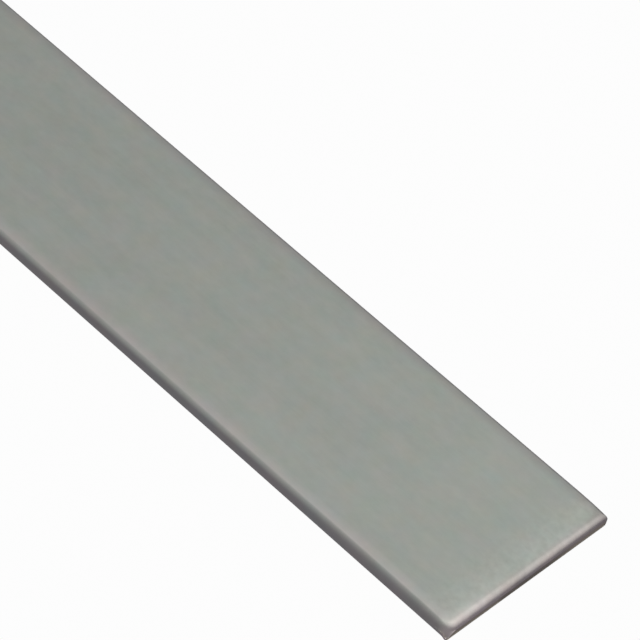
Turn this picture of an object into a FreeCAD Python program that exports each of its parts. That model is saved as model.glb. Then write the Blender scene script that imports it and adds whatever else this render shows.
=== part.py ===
import FreeCAD, Part
import math
import os

import Sketcher

# A metal flat bar: one length of rolled flat stock, sheared to length at both ends.
#
# The bar lies flat. +X runs along it, +Y across its width and +Z up through its thickness.
# The origin is the middle of its underside. All sizes are in millimetres.
#
# Its long arrises are left round by the rolls. The shear that cuts it to length draws its
# upper face down a little before it bites, so each end rolls over into the cut, and
# the rim of the cut is worn to a small round.

# Driving sizes, each with what it means on the bar
SIZES = [
    ("bar_length", 914.4, "overall length, a 36 inch stock length"),
    ("bar_width", 38.1, "overall width, one and a half inches"),
    ("bar_thickness", 3.175, "overall thickness, one eighth of an inch"),
    ("edge_radius", 1.0, "radius of the four long arrises"),
    ("roll_over_run", 3.6, "how far back from the cut the upper face starts to fall"),
    ("roll_over_drop", 0.45, "how far the upper face has fallen at the cut"),
    ("cut_rim_radius", 0.45, "radius of the rim round each cut face"),
]

# A long arris may take up to this share of the height of the cut face, which it meets
# from above and from below, and a rim up to this share of the long arris that it crosses
ARRIS_SHARE = 0.45
RIM_SHARE = 0.8

# The two radii, read from the sheet and limited by those walls
CUT_HEIGHT = "(Sizes.bar_thickness - Sizes.roll_over_drop)"
ARRIS_RADIUS = "min(Sizes.edge_radius; %g * %s)" % (ARRIS_SHARE, CUT_HEIGHT)
RIM_RADIUS = "min(Sizes.cut_rim_radius; %g * %s)" % (RIM_SHARE, ARRIS_RADIUS)

# Two coordinates nearer than this are the same place
SAME_PLACE = 1e-4


def fill_sheet(doc):
    """The driving sizes, one row each, with an alias for the features to read."""
    sheet = doc.addObject("Spreadsheet::Sheet", "Sizes")
    for row, (alias, value, meaning) in enumerate(SIZES, start=1):
        sheet.set("A%d" % row, alias)
        sheet.set("B%d" % row, str(value))
        sheet.set("C%d" % row, meaning)
        sheet.setAlias("B%d" % row, alias)
    doc.recompute()
    return sheet


def origin_plane(body, role):
    """One of a body's own base planes."""
    return next(feature for feature in body.Origin.OriginFeatures if feature.Role == role)


def edge_names(shape, wanted):
    """Names of the edges of a shape that pass a test, as a fillet takes them."""
    return ["Edge%d" % number for number, edge in enumerate(shape.Edges, start=1) if wanted(edge)]


def draw_side_view(body, sheet):
    """The bar seen from its long side: a strip whose upper line falls in an arc at each end."""
    sketch = body.newObject("Sketcher::SketchObject", "SideView")
    sketch.AttachmentSupport = [(origin_plane(body, "XZ_Plane"), "")]
    sketch.MapMode = "FlatFace"

    end = sheet.bar_length / 2
    top = sheet.bar_thickness
    run = sheet.roll_over_run
    drop = sheet.roll_over_drop
    roll_radius = (run**2 + drop**2) / (2 * drop)
    cut_angle = math.atan2(roll_radius - drop, run)

    def point(x, z):
        return FreeCAD.Vector(x, z, 0)

    def roll_arc(centre_x, first_angle, last_angle):
        centre = point(centre_x, top - roll_radius)
        circle = Part.Circle(centre, FreeCAD.Vector(0, 0, 1), roll_radius)
        return Part.ArcOfCircle(circle, first_angle, last_angle)

    add = sketch.addGeometry
    under = add(Part.LineSegment(point(-end, 0), point(end, 0)))
    right_cut = add(Part.LineSegment(point(end, 0), point(end, top - drop)))
    right_roll = add(roll_arc(end - run, cut_angle, math.pi / 2))
    upper = add(Part.LineSegment(point(end - run, top), point(run - end, top)))
    left_roll = add(roll_arc(run - end, math.pi / 2, math.pi - cut_angle))
    left_cut = add(Part.LineSegment(point(-end, top - drop), point(-end, 0)))

    # The constraint names of Sketcher: a curve's start is its point 1 and its end its point 2,
    # and the sketch's own axes are the curves -1 and -2
    start, finish = 1, 2
    across_axis, up_axis = -1, -2

    def hold(*arguments):
        return sketch.addConstraint(Sketcher.Constraint(*arguments))

    hold("Coincident", under, finish, right_cut, start)
    hold("Coincident", right_cut, finish, right_roll, start)
    hold("Tangent", right_roll, finish, upper, start)
    hold("Tangent", upper, finish, left_roll, start)
    hold("Coincident", left_roll, finish, left_cut, start)
    hold("Coincident", left_cut, finish, under, start)
    hold("Vertical", right_cut)
    hold("Vertical", left_cut)
    hold("Symmetric", under, start, under, finish, up_axis)
    hold("Symmetric", upper, start, upper, finish, up_axis)
    hold("PointOnObject", under, start, across_axis)
    hold("Horizontal", right_cut, finish, left_cut, start)

    def dimension(kind, first, first_point, second, second_point, value, alias):
        number = hold(kind, first, first_point, second, second_point, value)
        sketch.setExpression("Constraints[%d]" % number, "Sizes.%s" % alias)

    dimension("DistanceX", under, start, under, finish, 2 * end, "bar_length")
    dimension("DistanceY", under, finish, upper, start, top, "bar_thickness")
    dimension("DistanceX", upper, start, right_cut, finish, run, "roll_over_run")
    dimension("DistanceY", right_cut, finish, upper, start, drop, "roll_over_drop")
    return sketch


def pad_across(body, sketch):
    """The side view carried across the bar's width, half to each side."""
    pad = body.newObject("PartDesign::Pad", "Strip")
    pad.Profile = sketch
    pad.SideType = "Symmetric"
    pad.setExpression("Length", "Sizes.bar_width")
    return pad


def round_long_arrises(body, strip, sheet):
    """The four arrises that the rolls leave round, the roll-overs at the ends included."""
    side = sheet.bar_width / 2

    def lies_along_a_side(edge):
        box = edge.BoundBox
        on_side = abs(abs(box.YMin) - side) < SAME_PLACE and box.YLength < SAME_PLACE
        return on_side and box.XLength > SAME_PLACE

    fillet = body.newObject("PartDesign::Fillet", "LongArrises")
    fillet.Base = (strip, edge_names(strip.Shape, lies_along_a_side))
    fillet.setExpression("Radius", ARRIS_RADIUS)
    return fillet


def round_cut_rims(body, rounded, sheet):
    """The rim of the cut face at each end, all the way round it."""
    end = sheet.bar_length / 2

    def lies_in_a_cut(edge):
        box = edge.BoundBox
        return abs(abs(box.XMin) - end) < SAME_PLACE and box.XLength < SAME_PLACE

    fillet = body.newObject("PartDesign::Fillet", "CutRims")
    fillet.Base = (rounded, edge_names(rounded.Shape, lies_in_a_cut))
    fillet.setExpression("Radius", RIM_RADIUS)
    return fillet


def build_flat_bar(doc, sheet):
    """The bar, from its side view, its width and its rounded edges."""
    body = doc.addObject("PartDesign::Body", "flat_bar")
    body.Label = "flat_bar"
    sketch = draw_side_view(body, sheet)
    strip = pad_across(body, sketch)
    doc.recompute()
    rounded = round_long_arrises(body, strip, sheet)
    doc.recompute()
    round_cut_rims(body, rounded, sheet)
    doc.recompute()
    return body


def check(doc, bodies):
    """Stops the build where a feature failed or a solid isn't sound."""
    for item in doc.Objects:
        faults = {"Invalid", "Error"} & set(item.State)
        if faults:
            raise RuntimeError("%s is %s" % (item.Label, ", ".join(sorted(faults))))
    for body in bodies:
        shape = body.Shape
        if shape.isNull() or not shape.isValid() or len(shape.Solids) != 1:
            raise RuntimeError("%s is not one sound solid" % body.Label)


def write(bodies):
    """One file for each piece, named for its node."""
    os.makedirs("parts", exist_ok=True)
    for body in bodies:
        body.Shape.exportStep("parts/%s.step" % body.Label)


doc = FreeCAD.newDocument("MetalFlatBar")
sheet = fill_sheet(doc)
bodies = [build_flat_bar(doc, sheet)]
check(doc, bodies)
write(bodies)
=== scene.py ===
import logging
import math
from dataclasses import dataclass, replace
from enum import Enum
from typing import NamedTuple

import bpy
from mathutils import Matrix, Vector, noise


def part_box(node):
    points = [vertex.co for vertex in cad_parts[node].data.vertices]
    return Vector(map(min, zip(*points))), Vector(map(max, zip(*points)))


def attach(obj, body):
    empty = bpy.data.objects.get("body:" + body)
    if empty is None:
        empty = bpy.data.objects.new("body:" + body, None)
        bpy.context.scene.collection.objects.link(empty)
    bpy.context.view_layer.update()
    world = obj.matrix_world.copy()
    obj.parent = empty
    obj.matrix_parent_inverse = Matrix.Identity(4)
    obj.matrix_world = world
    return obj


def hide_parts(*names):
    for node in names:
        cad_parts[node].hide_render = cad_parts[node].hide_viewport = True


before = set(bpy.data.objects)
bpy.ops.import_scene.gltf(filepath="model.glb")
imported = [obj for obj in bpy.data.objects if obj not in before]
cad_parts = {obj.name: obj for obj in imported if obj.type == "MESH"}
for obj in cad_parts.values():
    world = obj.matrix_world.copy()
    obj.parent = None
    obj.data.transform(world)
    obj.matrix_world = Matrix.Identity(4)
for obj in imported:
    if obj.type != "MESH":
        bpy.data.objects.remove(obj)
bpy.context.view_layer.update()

log = logging.getLogger("flat_bar")

NODE = "flat_bar"
BODY = "root"

# One millimetre in the frame's metres
MM = 0.001

Colour = tuple[float, float, float]
Point = tuple[float, float, float]
Socket = bpy.types.NodeSocket

# Where a smooth step starts and where it ends
Reach = tuple[float, float]


class CutEnd(Enum):
    """The bar's two sheared ends, by the side of the middle that they are on."""

    LEFT = -1
    RIGHT = 1

    def facing(self, numbers: list[int]) -> list[int]:
        """The corners of a face of the right end, in the order that faces out of this one."""
        return numbers if self is CutEnd.RIGHT else numbers[::-1]


class FaceFinish(Enum):
    """The finishes of the bar's faces, by their place among its materials."""

    ROLLED = 0
    SHEARED = 1


@dataclass(frozen=True)
class Cloud:
    """A kind of smooth noise over the bar.

    The stretch is how many of its blobs there are in a millimetre along X, Y and Z, and the detail
    is how many finer layers are added.
    """

    stretch: Point
    detail: float = 3.0


class Recipe:
    """A node tree that is built one step at a time."""

    def __init__(self, tree: bpy.types.NodeTree) -> None:
        """Clears the tree.

        Args:
            tree: The node tree of a material or of the world.
        """
        self.tree = tree
        tree.nodes.clear()

    def add(self, kind: str, **settings: object) -> bpy.types.Node:
        """Adds a node.

        Args:
            kind: Blender's name of the node type.
            **settings: Attributes to set on the node.

        Returns:
            The new node.
        """
        node = self.tree.nodes.new(kind)
        for name, value in settings.items():
            setattr(node, name, value)
        return node

    def feed(self, socket: Socket, value: object) -> None:
        """Links a socket to another one, or sets its value.

        Args:
            socket: The input.
            value: An output socket, a number or a tuple of numbers.
        """
        if isinstance(value, Socket):
            self.tree.links.new(value, socket)
        else:
            socket.default_value = value

    def math(self, operation: str, *values: object) -> Socket:
        """One step of arithmetic.

        Args:
            operation: The Math node's operation.
            *values: Its inputs, as sockets or numbers.

        Returns:
            The result's socket.
        """
        node = self.add("ShaderNodeMath", operation=operation)
        for socket, value in zip(node.inputs, values):
            self.feed(socket, value)
        return node.outputs[0]

    def sum_of(self, start: float, *terms: tuple[Socket, float]) -> Socket:
        """A number plus some sockets, each times its own weight.

        Args:
            start: The number.
            *terms: Each socket with its weight.

        Returns:
            The sum's socket.
        """
        total: object = start
        for socket, weight in terms:
            total = self.math("MULTIPLY_ADD", socket, weight, total)
        return total

    def vector(self, operation: str, *values: object) -> Socket:
        """One step of vector arithmetic.

        Args:
            operation: The Vector Math node's operation.
            *values: Its vector inputs, as sockets or tuples.

        Returns:
            The vector result's socket, or the number's for a dot product.
        """
        node = self.add("ShaderNodeVectorMath", operation=operation)
        for socket, value in zip(node.inputs, values):
            self.feed(socket, value)
        return node.outputs["Value" if operation == "DOT_PRODUCT" else "Vector"]

    def scaled(self, vector: object, factor: object) -> Socket:
        """A vector times a number.

        Args:
            vector: The vector or colour, as a socket or a tuple.
            factor: The number, or its socket.

        Returns:
            The product's socket.
        """
        node = self.add("ShaderNodeVectorMath", operation="SCALE")
        self.feed(node.inputs["Vector"], vector)
        self.feed(node.inputs["Scale"], factor)
        return node.outputs["Vector"]

    def parts_of(self, vector: Socket) -> tuple[Socket, ...]:
        """The X, Y and Z of a vector.

        Args:
            vector: The vector's socket.

        Returns:
            The three numbers' sockets.
        """
        split = self.add("ShaderNodeSeparateXYZ")
        self.feed(split.inputs[0], vector)
        return tuple(split.outputs)

    def ease(self, value: Socket, low: float, high: float, at_low: float = 0.0,
             at_high: float = 1.0) -> Socket:
        """A smooth step from one level to another.

        Args:
            value: The number that is looked at.
            low: Where the step starts.
            high: Where the step ends.
            at_low: The level up to the start.
            at_high: The level from the end on.

        Returns:
            The level's socket.
        """
        node = self.add("ShaderNodeMapRange", interpolation_type="SMOOTHSTEP")
        for name, number in (("Value", value), ("From Min", low), ("From Max", high),
                             ("To Min", at_low), ("To Max", at_high)):
            self.feed(node.inputs[name], number)
        return node.outputs["Result"]

    def fade(self, value: Socket, reach: Reach) -> Socket:
        """A smooth step from 1 where a reach starts down to 0 where it ends."""
        return self.ease(value, *reach, at_low=1.0, at_high=0.0)

    def cloud(self, place: Socket, kind: Cloud) -> Socket:
        """Smooth noise about zero.

        Args:
            place: The place on the bar, in millimetres.
            kind: What kind of cloud it is.

        Returns:
            A number between about -0.5 and 0.5.
        """
        node = self.add("ShaderNodeTexNoise", noise_dimensions="3D")
        self.feed(node.inputs["Vector"], self.vector("MULTIPLY", place, kind.stretch))
        node.inputs["Scale"].default_value = 1.0
        node.inputs["Detail"].default_value = kind.detail
        return self.math("SUBTRACT", node.outputs["Fac"], 0.5)

    def place_in_mm(self) -> Socket:
        """The place on the bar, in millimetres in the bar's own frame."""
        coordinates = self.add("ShaderNodeTexCoord")
        return self.scaled(coordinates.outputs["Object"], 1 / MM)

    def blended(self, share: Socket, first: object, second: object) -> Socket:
        """One colour turning into another.

        Args:
            share: How much there is of the second, from 0 to 1.
            first: The first colour, as a socket or a tuple.
            second: The second.

        Returns:
            The blend's socket.
        """
        node = self.add("ShaderNodeMix", data_type="RGBA")
        self.feed(node.inputs["Factor"], share)
        for socket, colour in ((node.inputs[6], first), (node.inputs[7], second)):
            self.feed(socket, (*colour, 1.0) if isinstance(colour, tuple) else colour)
        return node.outputs[2]

    def bare_metal(self, colour: Socket, roughness: Socket, height: Socket, depth: float) -> None:
        """Ends a material as bare metal.

        Args:
            colour: Its colour.
            roughness: Its roughness.
            height: The height of its fine relief.
            depth: How deep a height of 1 is, in millimetres.
        """
        bump = self.add("ShaderNodeBump")
        bump.inputs["Distance"].default_value = depth * MM
        self.feed(bump.inputs["Height"], height)
        shader = self.add("ShaderNodeBsdfPrincipled")
        shader.inputs["Metallic"].default_value = 1.0
        self.feed(shader.inputs["Base Color"], colour)
        self.feed(shader.inputs["Roughness"], roughness)
        self.feed(shader.inputs["Normal"], bump.outputs["Normal"])
        output = self.add("ShaderNodeOutputMaterial")
        self.feed(output.inputs["Surface"], shader.outputs["BSDF"])


def blank_material(name: str) -> tuple[bpy.types.Material, Recipe]:
    """A new material with nothing in it.

    Args:
        name: The material's name.

    Returns:
        The material, and the recipe that fills it.
    """
    material = bpy.data.materials.new(name)
    material.use_nodes = True
    return material, Recipe(material.node_tree)


@dataclass(frozen=True)
class RolledFinish:
    """The satin skin that the rolls leave on the faces and the long edges.

    Lengths are in millimetres. A tone is how much something brightens or darkens the metal, and each
    roughness after the first is how much a cloud changes that one. The reaches named across run over
    the width, and the others in from the ends or the sides.
    """

    half_length: float
    half_width: float
    colour: Colour = (0.488, 0.529, 0.490)

    grain: Cloud = Cloud((0.03, 3.5, 3.5), detail=5.0)
    grain_tone: float = 0.06
    streak: Cloud = Cloud((0.008, 0.35, 0.35))
    streak_tone: float = 0.10
    mottle: Cloud = Cloud((0.55, 0.75, 0.75), detail=2.0)
    mottle_tone: float = 0.11
    haze: Cloud = Cloud((0.07, 0.11, 0.11), detail=4.0)
    haze_tone: float = 0.10
    red_patches: Cloud = Cloud((0.2, 0.27, 0.27))
    red_change: float = 0.2
    blue_patches: Cloud = Cloud((0.3, 0.2, 0.2))
    blue_change: float = 0.12

    # Painted tint: the pinkish colour of the highlight on the rolled-over end rims, within about 2 mm of
    # the ends.
    painted_end_tint: Colour = (1.12, 0.98, 1.025)
    painted_end_tint_reach: Reach = (0.3, 2.1)
    # Painted tint: the lilac colour of the highlight along the long arrises, weaker on the sides
    # themselves.
    painted_edge_tint: Colour = (1.035, 0.98, 1.01)
    edge_reach: Reach = (0.9, 3.4)
    side_reach: Reach = (0.0, 0.5)
    side_share: float = 0.6

    # Painted highlight and painted shade on the end rims, fading out within about 3 mm of the ends:
    # brighter towards the -Y corner, a little darker in the middle, darker towards the +Y corner, with
    # random blotches.
    end_reach: Reach = (0.9, 2.8)
    painted_highlight_across: Reach = (-15.0, -4.0)
    painted_highlight_tone: float = 0.14
    middle_tone: float = -0.05
    painted_shade_across: Reach = (13.0, 18.8)
    painted_shade_tone: float = 0.12
    blotches: Cloud = Cloud((0.3, 0.22, 0.3))
    blotch_tone: float = 0.16
    pressed: Cloud = Cloud((0.9, 0.9, 0.9))
    pressed_reach: Reach = (2.0, 10.0)
    pressed_tone: float = 0.30

    roughness: float = 0.376
    haze_roughness: float = 0.06
    mottle_roughness: float = 0.04
    grain_roughness: float = 0.05
    grain_depth: float = 0.0012
    streak_depth_in_grains: float = 2.0

    def tinted(self, tint: Colour) -> Colour:
        """The skin's own colour, times a tint."""
        return tuple(part * share for part, share in zip(self.colour, tint))

    def painted_rim_highlight(self, recipe: Recipe, place: Socket, across: Socket, from_end: Socket) -> Socket:
        """A painted highlight and painted shade on the rims of the cuts, with random blotches.

        Args:
            recipe: The material's recipe.
            place: The place on the bar, in millimetres.
            across: Its part across the width.
            from_end: Its distance from the nearer end.

        Returns:
            How much brighter it is painted: a painted highlight near the -Y corner, and painted shade at
                the other one.
        """
        # Painted highlight towards the -Y corner, slight painted shade in the middle, and painted shade
        # towards the +Y corner.
        bright = recipe.ease(across, *self.painted_highlight_across, self.painted_highlight_tone, self.middle_tone)
        dull = recipe.ease(across, *self.painted_shade_across, at_high=-self.painted_shade_tone)
        blotches = recipe.cloud(place, self.blotches)
        amount = recipe.sum_of(0.0, (bright, 1.0), (dull, 1.0), (blotches, self.blotch_tone))
        return recipe.math("MULTIPLY", amount, recipe.fade(from_end, self.end_reach))

    def hue(self, recipe: Recipe, place: Socket, from_end: Socket, from_side: Socket) -> Socket:
        """The metal's colour, before it is brightened or darkened.

        Args:
            recipe: The material's recipe.
            place: The place on the bar, in millimetres.
            from_end: Its distance from the nearer end.
            from_side: Its distance from the nearer side.

        Returns:
            The skin's colour, with painted tints of the highlights at the long edges and on the end rims,
            and faint warm and cool patches.
        """
        # Painted lilac tint of the arris highlight along the long edges.
        at_edge = recipe.fade(from_side, self.edge_reach)
        at_side = recipe.ease(from_side, *self.side_reach, at_low=self.side_share)
        edged = recipe.blended(recipe.math("MULTIPLY", at_edge, at_side), self.colour,
                               self.tinted(self.painted_edge_tint))
        # Painted pink tint of the highlight on the end rims.
        end_tinted = recipe.blended(recipe.fade(from_end, self.painted_end_tint_reach), edged,
                               self.tinted(self.painted_end_tint))
        red = recipe.sum_of(1.0, (recipe.cloud(place, self.red_patches), self.red_change))
        blue = recipe.sum_of(1.0, (recipe.cloud(place, self.blue_patches), self.blue_change))
        patches = recipe.add("ShaderNodeCombineXYZ")
        for socket, share in zip(patches.inputs, (red, 1.0, blue)):
            recipe.feed(socket, share)
        return recipe.vector("MULTIPLY", end_tinted, patches.outputs["Vector"])

    def material(self) -> bpy.types.Material:
        """The finish as a material.

        Returns:
            A grey metal with fine lengthwise roll marks and faint mottling, with painted tints of the
            highlights at its long edges and end rims, and a painted highlight and painted shade along the
            end rims.
        """
        material, recipe = blank_material("rolled_satin_steel")
        place = recipe.place_in_mm()
        along, across, _ = recipe.parts_of(place)
        from_end = recipe.math("SUBTRACT", self.half_length, recipe.math("ABSOLUTE", along))
        from_side = recipe.math("SUBTRACT", self.half_width, recipe.math("ABSOLUTE", across))

        grain = recipe.cloud(place, self.grain)
        streak = recipe.cloud(place, self.streak)
        mottle = recipe.cloud(place, self.mottle)
        haze = recipe.cloud(place, self.haze)
        # Painted highlight and painted shade along the end rims.
        painted_highlight_and_wear = self.painted_rim_highlight(recipe, place, across, from_end)
        near_end = recipe.fade(from_end, self.pressed_reach)
        pressed = recipe.math("MULTIPLY", recipe.cloud(place, self.pressed), near_end)
        tone = recipe.sum_of(1.0, (grain, self.grain_tone), (mottle, self.mottle_tone),
                             (streak, self.streak_tone), (haze, self.haze_tone), (painted_highlight_and_wear, 1.0),
                             (pressed, self.pressed_tone))
        colour = recipe.scaled(self.hue(recipe, place, from_end, from_side), tone)
        roughness = recipe.sum_of(self.roughness, (haze, self.haze_roughness),
                                  (mottle, self.mottle_roughness), (grain, self.grain_roughness))
        height = recipe.sum_of(0.0, (grain, 1.0), (streak, self.streak_depth_in_grains))
        recipe.bare_metal(colour, roughness, height, self.grain_depth)
        return material


@dataclass(frozen=True)
class ShearedFinish:
    """The cut face: a smooth band where the blade slid, and a duller torn band under it.

    Lengths are in millimetres, and the tear line is a height above the underside.
    """

    tear_line: float
    line_softness: float = 0.1
    line_wander: float = 0.4
    line_drag: float = 0.15

    slid_colour: Colour = (0.45, 0.425, 0.36)
    slid_roughness: float = 0.40
    torn_colour: Colour = (0.42, 0.395, 0.33)
    torn_roughness: float = 0.55

    wander: Cloud = Cloud((0.5, 0.5, 0.1))
    drag: Cloud = Cloud((5.0, 5.0, 0.4), detail=4.0)
    drag_tone: float = 0.15
    grain: Cloud = Cloud((7.0, 7.0, 7.0), detail=4.0)
    grain_tone: float = 0.2
    grain_roughness: float = 0.1
    grain_depth: float = 0.02
    drag_depth_in_grains: float = 0.5

    # The cut face is darker over a middle stretch of its width, with a wandering border.
    middle_dark_tone: float = 0.35
    middle_dark_start: Reach = (-7.4, -5.4)
    middle_dark_end: Reach = (4.5, 11.5)
    middle_dark_wander: float = 1.6

    def material(self) -> bpy.types.Material:
        """The finish as a material.

        Returns:
            A darker metal with fine upright drag lines, grainy in its lower part.
        """
        material, recipe = blank_material("sheared_steel")
        place = recipe.place_in_mm()
        _, across, up = recipe.parts_of(place)
        drag = recipe.cloud(place, self.drag)
        grain = recipe.cloud(place, self.grain)
        wander = recipe.cloud(place, self.wander)

        level = recipe.sum_of(0.0, (up, 1.0), (wander, self.line_wander), (drag, self.line_drag))
        slid = recipe.ease(level, self.tear_line - self.line_softness, self.tear_line + self.line_softness)
        # Darker over the middle stretch of the cut.
        wandered_across = recipe.sum_of(0.0, (across, 1.0), (wander, self.middle_dark_wander))
        middle_dark = recipe.math("SUBTRACT", recipe.ease(wandered_across, *self.middle_dark_start),
                            recipe.ease(wandered_across, *self.middle_dark_end))

        tone = recipe.sum_of(1.0, (drag, self.drag_tone), (grain, self.grain_tone),
                             (middle_dark, -self.middle_dark_tone))
        colour = recipe.scaled(recipe.blended(slid, self.torn_colour, self.slid_colour), tone)
        smooth = recipe.ease(slid, 0.0, 1.0, self.torn_roughness, self.slid_roughness)
        roughness = recipe.sum_of(0.0, (smooth, 1.0), (grain, self.grain_roughness))
        height = recipe.sum_of(0.0, (drag, self.drag_depth_in_grains), (grain, 1.0))
        recipe.bare_metal(colour, roughness, height, self.grain_depth)
        return material


@dataclass(frozen=True)
class PaleFinish:
    """A plain white that is all glow: its paint is black, so it shows no light or shade."""

    name: str
    glow: float = 0.98

    def material(self) -> bpy.types.Material:
        """The finish as a material.

        Returns:
            The same white from every side.
        """
        material = bpy.data.materials.new(self.name)
        material.use_nodes = True
        shader = material.node_tree.nodes["Principled BSDF"]
        shader.inputs["Base Color"].default_value = (0.0, 0.0, 0.0, 1.0)
        shader.inputs["Roughness"].default_value = 0.9
        shader.inputs["Specular IOR Level"].default_value = 0.0
        shader.inputs["Emission Color"].default_value = (1.0, 1.0, 1.0, 1.0)
        shader.inputs["Emission Strength"].default_value = self.glow
        return material


class MeshWork:
    """Corners and faces of a mesh in the making."""

    def __init__(self) -> None:
        """Starts with nothing."""
        self.corners: list[Vector] = []
        self.faces: list[tuple[int, ...]] = []
        self.finishes: list[FaceFinish] = []

    def row(self, places: list[Vector]) -> list[int]:
        """Adds corners.

        Args:
            places: Where they are.

        Returns:
            Their numbers, in the same order.
        """
        first = len(self.corners)
        self.corners.extend(places)
        return list(range(first, first + len(places)))

    def face(self, numbers: list[int], finish: FaceFinish) -> None:
        """Adds one face, whose corners run anticlockwise seen from outside."""
        self.faces.append(tuple(numbers))
        self.finishes.append(finish)

    def sharpen(self, mesh: bpy.types.Mesh) -> None:
        """Makes the shading break where one finish meets another.

        Args:
            mesh: The mesh, with its edges in place.
        """
        met: dict[tuple[int, int], set[FaceFinish]] = {}
        for numbers, finish in zip(self.faces, self.finishes):
            for pair in zip(numbers, numbers[1:] + numbers[:1]):
                met.setdefault(tuple(sorted(pair)), set()).add(finish)
        for edge in mesh.edges:
            edge.use_edge_sharp = len(met[tuple(sorted(edge.vertices))]) > 1

    def object(self, name: str, materials: list[bpy.types.Material]) -> bpy.types.Object:
        """Makes the mesh into an object of the scene.

        Args:
            name: The object's name.
            materials: One for each finish, in their order.

        Returns:
            The object, shaded smooth.
        """
        mesh = bpy.data.meshes.new(name)
        mesh.from_pydata(self.corners, [], self.faces)
        for material in materials:
            mesh.materials.append(material)
        mesh.polygons.foreach_set("material_index", [finish.value for finish in self.finishes])
        mesh.polygons.foreach_set("use_smooth", [True] * len(self.faces))
        mesh.update()
        self.sharpen(mesh)
        made = bpy.data.objects.new(name, mesh)
        bpy.context.scene.collection.objects.link(made)
        return made


def smooth_share(share: float) -> float:
    """A share from 0 to 1 that leaves 0 and reaches 1 gently."""
    return share**2 * (3 - 2 * share)


def eased_height(height: float, least: float) -> float:
    """A height that levels out smoothly at a least one, and is itself from twice that on."""
    return height if height >= 2 * least else least + max(0.0, height) ** 2 / (4 * least)


def joined(first: float, second: float, power: float) -> float:
    """Two falls towards edges square to each other, as one.

    Args:
        first: The one fall.
        second: The other.
        power: How square the corner between them is: 1 is all droop, and a large number a sharp corner.

    Returns:
        The fall at that place.
    """
    return (first**power + second**power) ** (1 / power)


def refined(values: list[float], parts: int) -> list[float]:
    """Values with even steps put between them.

    Args:
        values: The values.
        parts: How many steps there are from one to the next.

    Returns:
        The values and the steps between them, in order.
    """
    steps = [before + (after - before) * step / parts
             for before, after in zip(values, values[1:]) for step in range(parts)]
    return steps + [values[-1]]


@dataclass(frozen=True)
class Rounding:
    """A rounded edge on a surface that already slopes towards it.

    Places are distances in from its outermost line, in millimetres. The tallness is how many times
    as tall as wide it is, and the radius is then its width.
    """

    radius: float
    slope: float = 0.0
    tallness: float = 1.0

    def steep_place(self, slope: float) -> float:
        """The place at which it is as steep as a slope."""
        return self.radius * (1 - slope / math.hypot(slope, self.tallness))

    def start(self) -> float:
        """The place at which it starts."""
        return self.steep_place(self.slope)

    def fall(self, inward: float) -> float:
        """How much farther it falls than the slope that leads to it.

        Args:
            inward: The place.

        Returns:
            The extra fall, which is none where the rounding hasn't started.
        """
        start = self.start()
        if inward >= start:
            return 0.0
        first, turned = 1 - start / self.radius, 1 - inward / self.radius
        drop = self.radius * self.tallness * (math.sqrt(1 - first**2) - math.sqrt(1 - turned**2))
        return drop - self.slope * (start - inward)

    def knocked_fall(self, inward: float, steepest: float) -> float:
        """The fall where it stops at a steepest slope and goes on down at that, past its outermost line."""
        last = self.steep_place(steepest)
        return self.fall(max(inward, last)) + (steepest - self.slope) * max(0.0, last - inward)

    def places(self, steps: int) -> list[float]:
        """Places across it, at even turns of a round arc.

        Args:
            steps: How many turns there are.

        Returns:
            The places, from where it starts out to its outermost line.
        """
        first = math.asin(1 - self.start() / self.radius)
        turns = [first + (math.pi / 2 - first) * step / steps for step in range(steps + 1)]
        return [self.radius * (1 - math.sin(turn)) for turn in turns]


@dataclass(frozen=True)
class LongEdge:
    """The shape that the rolls give each long edge: a soft shoulder, then a round arris.

    Sizes are in millimetres, and places are distances in from the side of the bar.
    """

    radius: float = 1.06
    shoulder: float = 1.9
    slope: float = 0.135
    shoulder_steps: int = 10
    arris_steps: int = 16

    def arris(self, radius: float) -> Rounding:
        """The arris, where it has this radius."""
        return Rounding(radius, self.slope)

    def columns(self, radius: float) -> list[float]:
        """Where a section has its columns across the edge.

        Args:
            radius: The arris's radius there.

        Returns:
            The columns' places, from the flat out to the side.
        """
        arris = self.arris(radius)
        soft = [arris.start() + self.shoulder * (1 - step / self.shoulder_steps)
                for step in range(self.shoulder_steps)]
        return soft + arris.places(self.arris_steps)

    def shoulder_fall(self, inward: float, radius: float) -> float:
        """How far the shoulder has fallen.

        Args:
            inward: The place.
            radius: The arris's radius there.

        Returns:
            The fall, which goes on at the steepest slope under the arris.
        """
        past = self.arris(radius).start() + self.shoulder - inward
        soft = min(past, self.shoulder)
        return self.slope * (soft**2 / (2 * self.shoulder) + past - soft)


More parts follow.
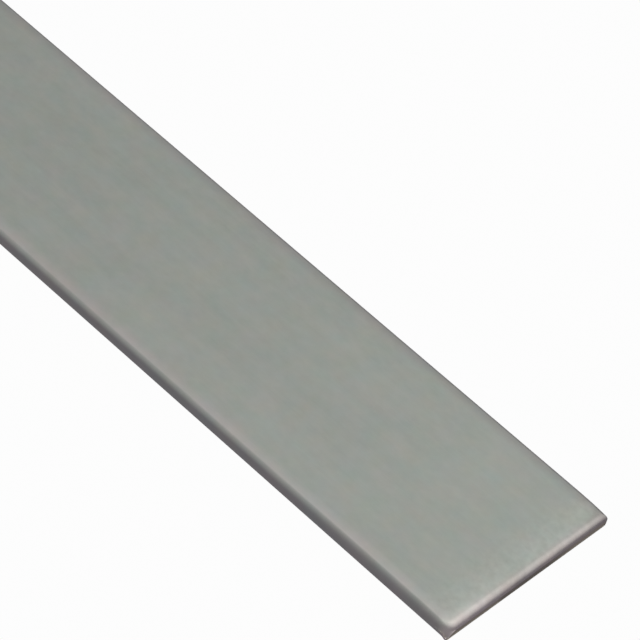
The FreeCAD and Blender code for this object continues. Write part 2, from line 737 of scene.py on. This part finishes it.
@dataclass(frozen=True)
class ShearedEnd:
    """The shape that the shear gives each end, in millimetres.

    The upper face rolls over more and more steeply, and then round the upper rim into the cut. The
    lower rim and the two upright edges of the cut are only a little worn. The die presses the lower
    arrises squarer near the cut, and the upper corners are drawn down. The blade comes down raked,
    so the upper rim is rounder on the side where it starts, which is the -Y side. The upper arris
    there is worn taller than wide, and the upper corner there is knocked down: round from above,
    and steep outside that outline.
    """

    roll_run: float = 10.0
    roll_slope: float = 0.107
    roll_power: float = 3.0
    roll_steps: int = 24
    roll_step_power: float = 1.5
    upper_rim: float = 1.31
    rake: float = 0.13
    rim_steps: int = 24
    lower_rim: float = 0.36
    upright_rim: float = 0.12
    pressed_radius: float = 0.5
    pressed_run: float = 1.2
    worn_tallness: float = 1.6
    end_reach: Reach = (16.0, 42.0)
    knocked_reach: float = 2.5
    knocked_slope: float = 2.2
    upper_corner: float = 6.0
    lower_corner: float = 3.5

    def rim(self, side_share: float) -> Rounding:
        """The upper rim, at a place from -1 on the -Y side to 1 on the other."""
        return Rounding(self.upper_rim * (1 - self.rake * side_share), self.roll_slope)

    def roll_fall(self, from_end: float, rim: Rounding) -> float:
        """How far the roll has let the upper face fall.

        Args:
            from_end: The distance from the end.
            rim: The upper rim there.

        Returns:
            The fall, which goes on at its steepest slope under the rim.
        """
        reach = self.roll_run - rim.start()
        share = max(0.0, self.roll_run - max(from_end, rim.start())) / reach
        rolled = share ** (self.roll_power + 1) * reach / (self.roll_power + 1)
        return self.roll_slope * (rolled + max(0.0, rim.start() - from_end))

    def upper_fall(self, from_end: float, side_share: float) -> float:
        """How far the roll and the rim have let the upper face fall, away from the long edges."""
        rim = self.rim(side_share)
        return self.roll_fall(from_end, rim) + rim.fall(from_end)

    def tallness(self, from_end: float) -> float:
        """How many times as tall as wide the upper arris on the -Y side is.

        Args:
            from_end: The distance from the end.

        Returns:
            The most near the end, and 1 far from it.
        """
        full, none = self.end_reach
        share = min(1.0, max(0.0, (none - from_end) / (none - full)))
        return 1 + (self.worn_tallness - 1) * smooth_share(share)

    def edge_fall(self, from_end: float, inward: float, side_share: float, arris: Rounding) -> float:
        """How much farther the upper face falls than its slopes, near a long edge.

        Args:
            from_end: The distance from the end.
            inward: The distance in from the side.
            side_share: The place across the width, from -1 to 1.
            arris: The long arris there, as the rolls leave it.

        Returns:
            The fall of the rim, of the long arris, or of the corner between them.
        """
        rim = self.rim(side_share)
        if side_share > 0:
            return joined(rim.fall(from_end), arris.fall(inward), self.upper_corner)
        along, across = max(0.0, self.knocked_reach - from_end), max(0.0, self.knocked_reach - inward)
        span = math.hypot(along, across)
        if span == 0.0:
            return 0.0
        depth = self.knocked_reach - span
        painted_highlight_and_wear = replace(arris, tallness=self.tallness(from_end))
        rounded = knocked = 0.0
        for reach, rounding in ((along, rim), (across, painted_highlight_and_wear)):
            share = (reach / span) ** 2
            rounded += share * rounding.fall(max(0.0, depth))
            knocked += share * rounding.knocked_fall(depth, self.knocked_slope)
        diagonal = 2 * along * across / span**2
        return rounded + diagonal * (knocked - rounded)

    def inset(self, from_end: float) -> float:
        """How far the underside is drawn in, at a distance from the end."""
        return Rounding(self.lower_rim).fall(from_end)

    def side_inset(self, from_end: float) -> float:
        """How far the sides are drawn in, at a distance from the end."""
        return Rounding(self.upright_rim).fall(from_end)

    def lower_radius(self, from_end: float, radius: float) -> float:
        """The lower arrises' radius, which the die has pressed smaller near the end."""
        share = max(0.0, 1 - from_end / self.pressed_run)
        return radius + (self.pressed_radius - radius) * smooth_share(share)

    def stations(self) -> list[float]:
        """Where the skin has a ring, from the cut to the start of the roll.

        Returns:
            Distances from the end, the first of them none.
        """
        rim = Rounding(self.upper_rim, self.roll_slope)
        outward = rim.places(self.rim_steps)
        span = self.roll_run - rim.start()
        shares = [(step / self.roll_steps) ** self.roll_step_power for step in range(self.roll_steps + 1)]
        return outward[:0:-1] + [rim.start() + span * share for share in shares]


@dataclass(frozen=True)
class CutRelief:
    """The relief of a cut face: drag lines where the blade slid, and a rough torn band under them.

    Sizes are in millimetres. A spacing is about how far apart its waves, grains or lines are, across
    the width and, where it has two numbers, up the face.
    """

    slid_share: float = 0.45
    wave: float = 0.12
    wave_spacing: float = 2.5
    flutter: float = 0.07
    flutter_spacing: float = 0.6
    tear_softness: float = 0.2
    torn_depth: float = 0.05
    torn_start: float = 0.3
    grain_depth: float = 0.04
    grain_spacing: tuple[float, float] = (0.45, 0.3)
    drag_depth: float = 0.006
    drag_spacing: tuple[float, float] = (0.2, 6.0)
    end_seed: float = 40.0

    def depth(self, end: CutEnd, y: float, above_tear: float, height: float) -> float:
        """How far the cut face lies behind the end, at a place on it.

        Args:
            end: Which end.
            y: The place across the width.
            above_tear: The height above the straight line at which the steel tore.
            height: The height above the underside.

        Returns:
            The depth, which is only the drag lines' where the blade slid.
        """
        seed = self.end_seed * end.value
        wave = self.wave * noise.noise(Vector((y / self.wave_spacing, seed, 1.0)))
        flutter = self.flutter * noise.noise(Vector((y / self.flutter_spacing, seed, 3.0)))
        torn = min(1.0, max(0.0, (wave + flutter - above_tear) / self.tear_softness))

        wide, high = self.grain_spacing
        grain = 0.5 + 0.5 * noise.fractal(Vector((y / wide, height / high, seed)), 1.0, 2.0, 3)
        wide, high = self.drag_spacing
        drag = self.drag_depth * (1 + noise.noise(Vector((y / wide, height / high, seed + 7.0))))
        step = self.torn_depth * (self.torn_start + (1 - self.torn_start) * torn)
        return drag + torn * (step + self.grain_depth * grain)


class Column(NamedTuple):
    """One column of a section: its place across the width, and its upper and lower ends."""

    across: float
    top: float
    bottom: float


@dataclass
class FlatBar:
    """The bar itself: a rolled strip with soft long edges and two sheared ends.

    Sizes are in millimetres. The bar lies on its underside, along X, with its middle at the origin.
    """

    length: float
    width: float
    thickness: float
    edge: LongEdge = LongEdge()
    end: ShearedEnd = ShearedEnd()
    relief: CutRelief = CutRelief()
    arris_waver: float = 0.04
    slow_share: float = 0.7
    slow_spacing: float = 31.0
    quick_spacing: float = 6.5
    least_side: float = 0.25
    rim_margin: float = 0.04
    width_steps: int = 36
    side_steps: int = 6
    longest_step: float = 6.0
    step_growth: float = 1.22
    cut_fineness: int = 4

    def stations(self) -> list[float]:
        """Where the skin has a ring, between the cut and the middle.

        Returns:
            Distances from the end, the first of them none.
        """
        places = self.end.stations()
        step = places[-1] - places[-2]
        while places[-1] + step < self.length / 2:
            places.append(places[-1] + step)
            step = min(step * self.step_growth, self.longest_step)
        return places

    def waver(self, x: float) -> float:
        """How much the arrises' radius differs from its size.

        Args:
            x: The place along the bar.

        Returns:
            The difference, which a slow waver and a quick one make up.
        """
        slow = noise.noise(Vector((x / self.slow_spacing, 2.7, 0.4)))
        quick = noise.noise(Vector((x / self.quick_spacing, 9.1, 5.2)))
        return self.arris_waver * (self.slow_share * slow + (1 - self.slow_share) * quick)

    def edge_column(self, from_end: float, radius: float, sign: int, inward: float) -> Column:
        """One column of a section, at a long edge.

        Args:
            from_end: The section's distance from the nearer end.
            radius: The long arrises' radius there.
            sign: The side that it is on, -1 or 1.
            inward: How far in from that side it is, before the end draws it in.

        Returns:
            The column.
        """
        side = self.width / 2
        drawn_in = self.end.side_inset(from_end) * max(0.0, 1 - inward / radius)
        place = sign * (side - inward - drawn_in)
        shoulder = self.edge.shoulder_fall(inward, radius)

        lower_arris = self.edge.arris(self.end.lower_radius(from_end, radius))
        under = shoulder + lower_arris.fall(inward)
        bottom = joined(self.end.inset(from_end), under, self.end.lower_corner)

        rolled = self.end.roll_fall(from_end, self.end.rim(place / side))
        painted_highlight_and_wear = self.end.edge_fall(from_end, inward, place / side, self.edge.arris(radius))
        height = self.thickness - rolled - shoulder - painted_highlight_and_wear - bottom
        return Column(place, bottom + eased_height(height, self.least_side), bottom)

    def flat_column(self, from_end: float, place: float) -> Column:
        """One column of a section, between the long edges."""
        fallen = self.end.upper_fall(from_end, place / (self.width / 2))
        return Column(place, self.thickness - fallen, self.end.inset(from_end))

    def section(self, x: float, from_end: float) -> list[Column]:
        """The bar's section at one place along it.

        Args:
            x: The place along the bar.
            from_end: Its distance from the nearer end.

        Returns:
            The section's columns, from the -Y side to the other.
        """
        radius = self.edge.radius + self.waver(x)
        inward = self.edge.columns(radius)
        flat = self.width / 2 - inward[0]
        near = [self.edge_column(from_end, radius, -1, place) for place in reversed(inward)]
        middle = [self.flat_column(from_end, flat * (2 * step / self.width_steps - 1))
                  for step in range(1, self.width_steps)]
        far = [self.edge_column(from_end, radius, 1, place) for place in inward]
        return near + middle + far

    def side_points(self, across: float, start: float, finish: float) -> list[tuple[float, float]]:
        """Points up or down a side of the section, between its two corners."""
        rise = (finish - start) / self.side_steps
        return [(across, start + rise * step) for step in range(1, self.side_steps)]

    def outline(self, columns: list[Column]) -> list[tuple[float, float]]:
        """The section's outline.

        Args:
            columns: The section's columns.

        Returns:
            The outline's points, anticlockwise seen from the right end: under, right, over, left.
        """
        first, last = columns[0], columns[-1]
        under = [(column.across, column.bottom) for column in columns]
        right = self.side_points(last.across, last.bottom, last.top)
        over = [(column.across, column.top) for column in reversed(columns)]
        left = self.side_points(first.across, first.top, first.bottom)
        return under + right + over + left

    def skin(self, work: MeshWork) -> dict[CutEnd, list[int]]:
        """The skin of the bar, ring by ring from the left end to the right one.

        Args:
            work: The mesh in the making.

        Returns:
            The last ring at each end, which the cut face closes.
        """
        half = self.length / 2
        inward = self.stations()
        left = [(place - half, place) for place in inward]
        right = [(half - place, place) for place in reversed(inward)]
        rings = []
        for x, from_end in left + [(0.0, half)] + right:
            points = self.outline(self.section(x, from_end))
            rings.append(work.row([Vector((x, y, z)) for y, z in points]))
        for near, far in zip(rings, rings[1:]):
            count = len(near)
            for number in range(count):
                following = (number + 1) % count
                corners = [near[number], near[following], far[following], far[number]]
                work.face(corners, FaceFinish.ROLLED)
        return {CutEnd.LEFT: rings[0], CutEnd.RIGHT: rings[-1]}

    def tear_line(self) -> float:
        """The height at which the blade stopped sliding and the steel tore.

        Returns:
            The height above the underside, at the middle of the cut.
        """
        top = self.thickness - self.end.upper_fall(0.0, 0.0)
        bottom = self.end.inset(0.0)
        return top - self.relief.slid_share * (top - bottom)

    def cut_grid(self, work: MeshWork, end: CutEnd) -> list[list[int]]:
        """The corners of a fine grid over a cut face, a little inside its rim.

        Args:
            work: The mesh in the making.
            end: Which end.

        Returns:
            Their numbers, column by column from the -Y side and each column from the bottom up.
        """
        half, margin = self.length / 2, self.rim_margin
        columns = self.section(end.value * half, 0.0)
        shrink = 1 - margin / columns[-1].across
        across = refined([column.across * shrink for column in columns], self.cut_fineness)
        tops = refined([column.top - margin for column in columns], self.cut_fineness)
        bottoms = refined([column.bottom + margin for column in columns], self.cut_fineness)
        rows = self.side_steps * self.cut_fineness
        tear_line = self.tear_line()
        grid = []
        for y, top, bottom in zip(across, tops, bottoms):
            places = []
            for step in range(rows + 1):
                height = bottom + (top - bottom) * step / rows
                on_border = step in (0, rows) or y in (across[0], across[-1])
                back = 0.0 if on_border else self.relief.depth(end, y, height - tear_line, height)
                places.append(Vector((end.value * (half - back), y, height)))
            grid.append(work.row(places))
        return grid

    def cut_face(self, work: MeshWork, end: CutEnd, rim: list[int]) -> None:
        """The cut face of one end: a fine grid, joined to the skin's last ring round it.

        Args:
            work: The mesh in the making.
            end: Which end.
            rim: The last ring of the skin there.
        """
        grid = self.cut_grid(work, end)
        for first, second in zip(grid, grid[1:]):
            for step in range(len(first) - 1):
                corners = [first[step], second[step], second[step + 1], first[step + 1]]
                work.face(end.facing(corners), FaceFinish.SHEARED)

        under = [column[0] for column in grid]
        right_side = grid[-1][1:-1]
        over = [column[-1] for column in reversed(grid)]
        left_side = grid[0][-2:0:-1]
        border = under + right_side + over + left_side
        fine = self.cut_fineness
        for number, corner in enumerate(rim):
            following = rim[(number + 1) % len(rim)]
            inner = [border[(number * fine + step) % len(border)] for step in range(fine + 1)]
            work.face(end.facing([corner, following, inner[fine // 2]]), FaceFinish.SHEARED)
            for step in range(fine):
                outer = corner if step < fine // 2 else following
                work.face(end.facing([outer, inner[step + 1], inner[step]]), FaceFinish.SHEARED)

    def build(self) -> bpy.types.Object:
        """Makes the bar, dresses it and lets it stand for its solid.

        Returns:
            The finished piece.
        """
        work = MeshWork()
        for end, rim in self.skin(work).items():
            self.cut_face(work, end, rim)
        work.corners = [corner * MM for corner in work.corners]
        finishes = [
            RolledFinish(half_length=self.length / 2, half_width=self.width / 2).material(),
            ShearedFinish(tear_line=self.tear_line()).material(),
        ]
        piece = work.object("flat_bar_steel", finishes)
        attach(piece, BODY)
        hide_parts(NODE)
        return piece


@dataclass
class PaleStudio:
    """The plain pale floor that the bar lies on, under a dome of the same white.

    Both are only seen. They throw no light on the bar and stand in no light's way.
    """

    radius: float = 40.0

    def staged(self, name: str) -> bpy.types.Object:
        """Names, paints and stages what was just made.

        Args:
            name: The object's name.

        Returns:
            The object.
        """
        made = bpy.context.object
        made.name = name
        made.data.materials.append(PaleFinish("pale_" + name).material())
        made.visible_glossy = False
        made.visible_diffuse = False
        made.visible_shadow = False
        return made

    def build(self) -> list[bpy.types.Object]:
        """Makes the floor and the dome.

        Returns:
            The two of them.
        """
        bpy.ops.mesh.primitive_circle_add(vertices=64, radius=self.radius, fill_type="NGON")
        floor = self.staged("floor")
        bpy.ops.mesh.primitive_uv_sphere_add(segments=64, ring_count=32, radius=self.radius)
        return [floor, self.staged("dome")]


@dataclass(frozen=True)
class SoftLight:
    """A large soft light: a wide glow on the sky with a brighter middle.

    Its direction is in degrees, the azimuth from +Y towards +X. The reaches are cosines of the
    angle from its middle, at which a part of it starts and is full.
    """

    azimuth: float
    elevation: float
    colour: Colour
    reach: Reach
    core: float = 0.0
    core_reach: Reach = (0.9, 1.0)

    def direction(self) -> Point:
        """Where it stands.

        Returns:
            The way to it from the bar, as a unit vector.
        """
        azimuth, elevation = math.radians(self.azimuth), math.radians(self.elevation)
        level = math.cos(elevation)
        return (math.sin(azimuth) * level, math.cos(azimuth) * level, math.sin(elevation))

    def share(self, recipe: Recipe, towards: Socket) -> Socket:
        """How bright it is in a direction.

        Args:
            recipe: The world's recipe.
            towards: The direction's socket.

        Returns:
            The factor that its colour is multiplied by.
        """
        cosine = recipe.vector("DOT_PRODUCT", towards, self.direction())
        wide = recipe.ease(cosine, *self.reach)
        return recipe.sum_of(0.0, (wide, 1.0), (recipe.ease(cosine, *self.core_reach), self.core))


SIDE_LIGHT = SoftLight(azimuth=62.4, elevation=51.2, colour=(0.453, 0.438, 0.4215), reach=(0.467, 0.726),
                       core=0.702, core_reach=(0.846, 1.0))
TOP_LIGHT = SoftLight(azimuth=-62.0, elevation=64.5, colour=(0.16, 0.08, 0.11), reach=(0.94, 0.998))


@dataclass
class Surroundings:
    """The soft light all round: dim below, brighter above, with the soft lights in it."""

    below: Colour = (0.247, 0.222, 0.248)
    above: Colour = (0.487, 0.491, 0.479)
    rise: Reach = (-0.465, 1.108)
    lights: tuple[SoftLight, ...] = (SIDE_LIGHT, TOP_LIGHT)

    def build(self) -> None:
        """Sets up the world."""
        world = bpy.data.worlds.new("studio")
        world.use_nodes = True
        bpy.context.scene.world = world
        recipe = Recipe(world.node_tree)
        towards = recipe.add("ShaderNodeTexCoord").outputs["Generated"]
        height = recipe.vector("DOT_PRODUCT", towards, (0.0, 0.0, 1.0))
        radiance = recipe.blended(recipe.ease(height, *self.rise), self.below, self.above)
        for light in self.lights:
            glow = recipe.scaled(light.colour, light.share(recipe, towards))
            radiance = recipe.vector("ADD", radiance, glow)
        background = recipe.add("ShaderNodeBackground")
        recipe.feed(background.inputs["Color"], radiance)
        output = recipe.add("ShaderNodeOutputWorld")
        recipe.feed(output.inputs["Surface"], background.outputs["Background"])


@dataclass
class PhotoCamera:
    """The camera that took the photograph, found from the bar's outline in it.

    Angles are in degrees. The distance and the aim are in millimetres, and the aim is given from
    the underside of the end that shows.
    """

    azimuth: float = 32.507
    elevation: float = 45.753
    roll: float = 16.089
    lens: float = 208.832
    distance: float = 603.138
    aim_back: float = 58.063
    aim_across: float = 13.113

    def build(self, end: Vector) -> bpy.types.Object:
        """Makes the camera and gives it to the scene.

        Args:
            end: The middle of the end's lower edge.

        Returns:
            The camera's object.
        """
        azimuth, elevation = math.radians(self.azimuth), math.radians(self.elevation)
        roll = math.radians(self.roll)
        forward = Vector((-math.sin(azimuth) * math.cos(elevation),
                          math.cos(azimuth) * math.cos(elevation), -math.sin(elevation)))
        level = forward.cross(Vector((0, 0, 1))).normalized()
        upright = level.cross(forward)
        right = level * math.cos(roll) + upright * math.sin(roll)
        up = upright * math.cos(roll) - level * math.sin(roll)
        aim = end + Vector((-self.aim_back, self.aim_across, 0)) * MM

        data = bpy.data.cameras.new("photo_camera")
        data.lens = self.lens
        data.sensor_width = 36.0
        data.clip_start = 0.01
        camera = bpy.data.objects.new("photo_camera", data)
        bpy.context.scene.collection.objects.link(camera)
        turn = Matrix((right, up, -forward)).transposed()
        camera.matrix_world = Matrix.Translation(aim - forward * self.distance * MM) @ turn.to_4x4()
        bpy.context.scene.camera = camera
        return camera


def main() -> None:
    """Builds the bar, then what it is seen in."""
    logging.basicConfig(level=logging.INFO, format="%(name)s: %(message)s")
    bpy.context.scene.view_settings.view_transform = "Standard"
    low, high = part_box(NODE)
    length, width, thickness = (high - low) / MM
    piece = FlatBar(length, width, thickness).build()
    log.info("%s: %d faces", piece.name, len(piece.data.polygons))

    for staged in PaleStudio().build():
        log.info("%s is staged", staged.name)
    Surroundings().build()
    camera = PhotoCamera().build(Vector((high.x, 0, low.z)))
    log.info("%s looks at the right end", camera.name)


if __name__ == "__main__":
    main()
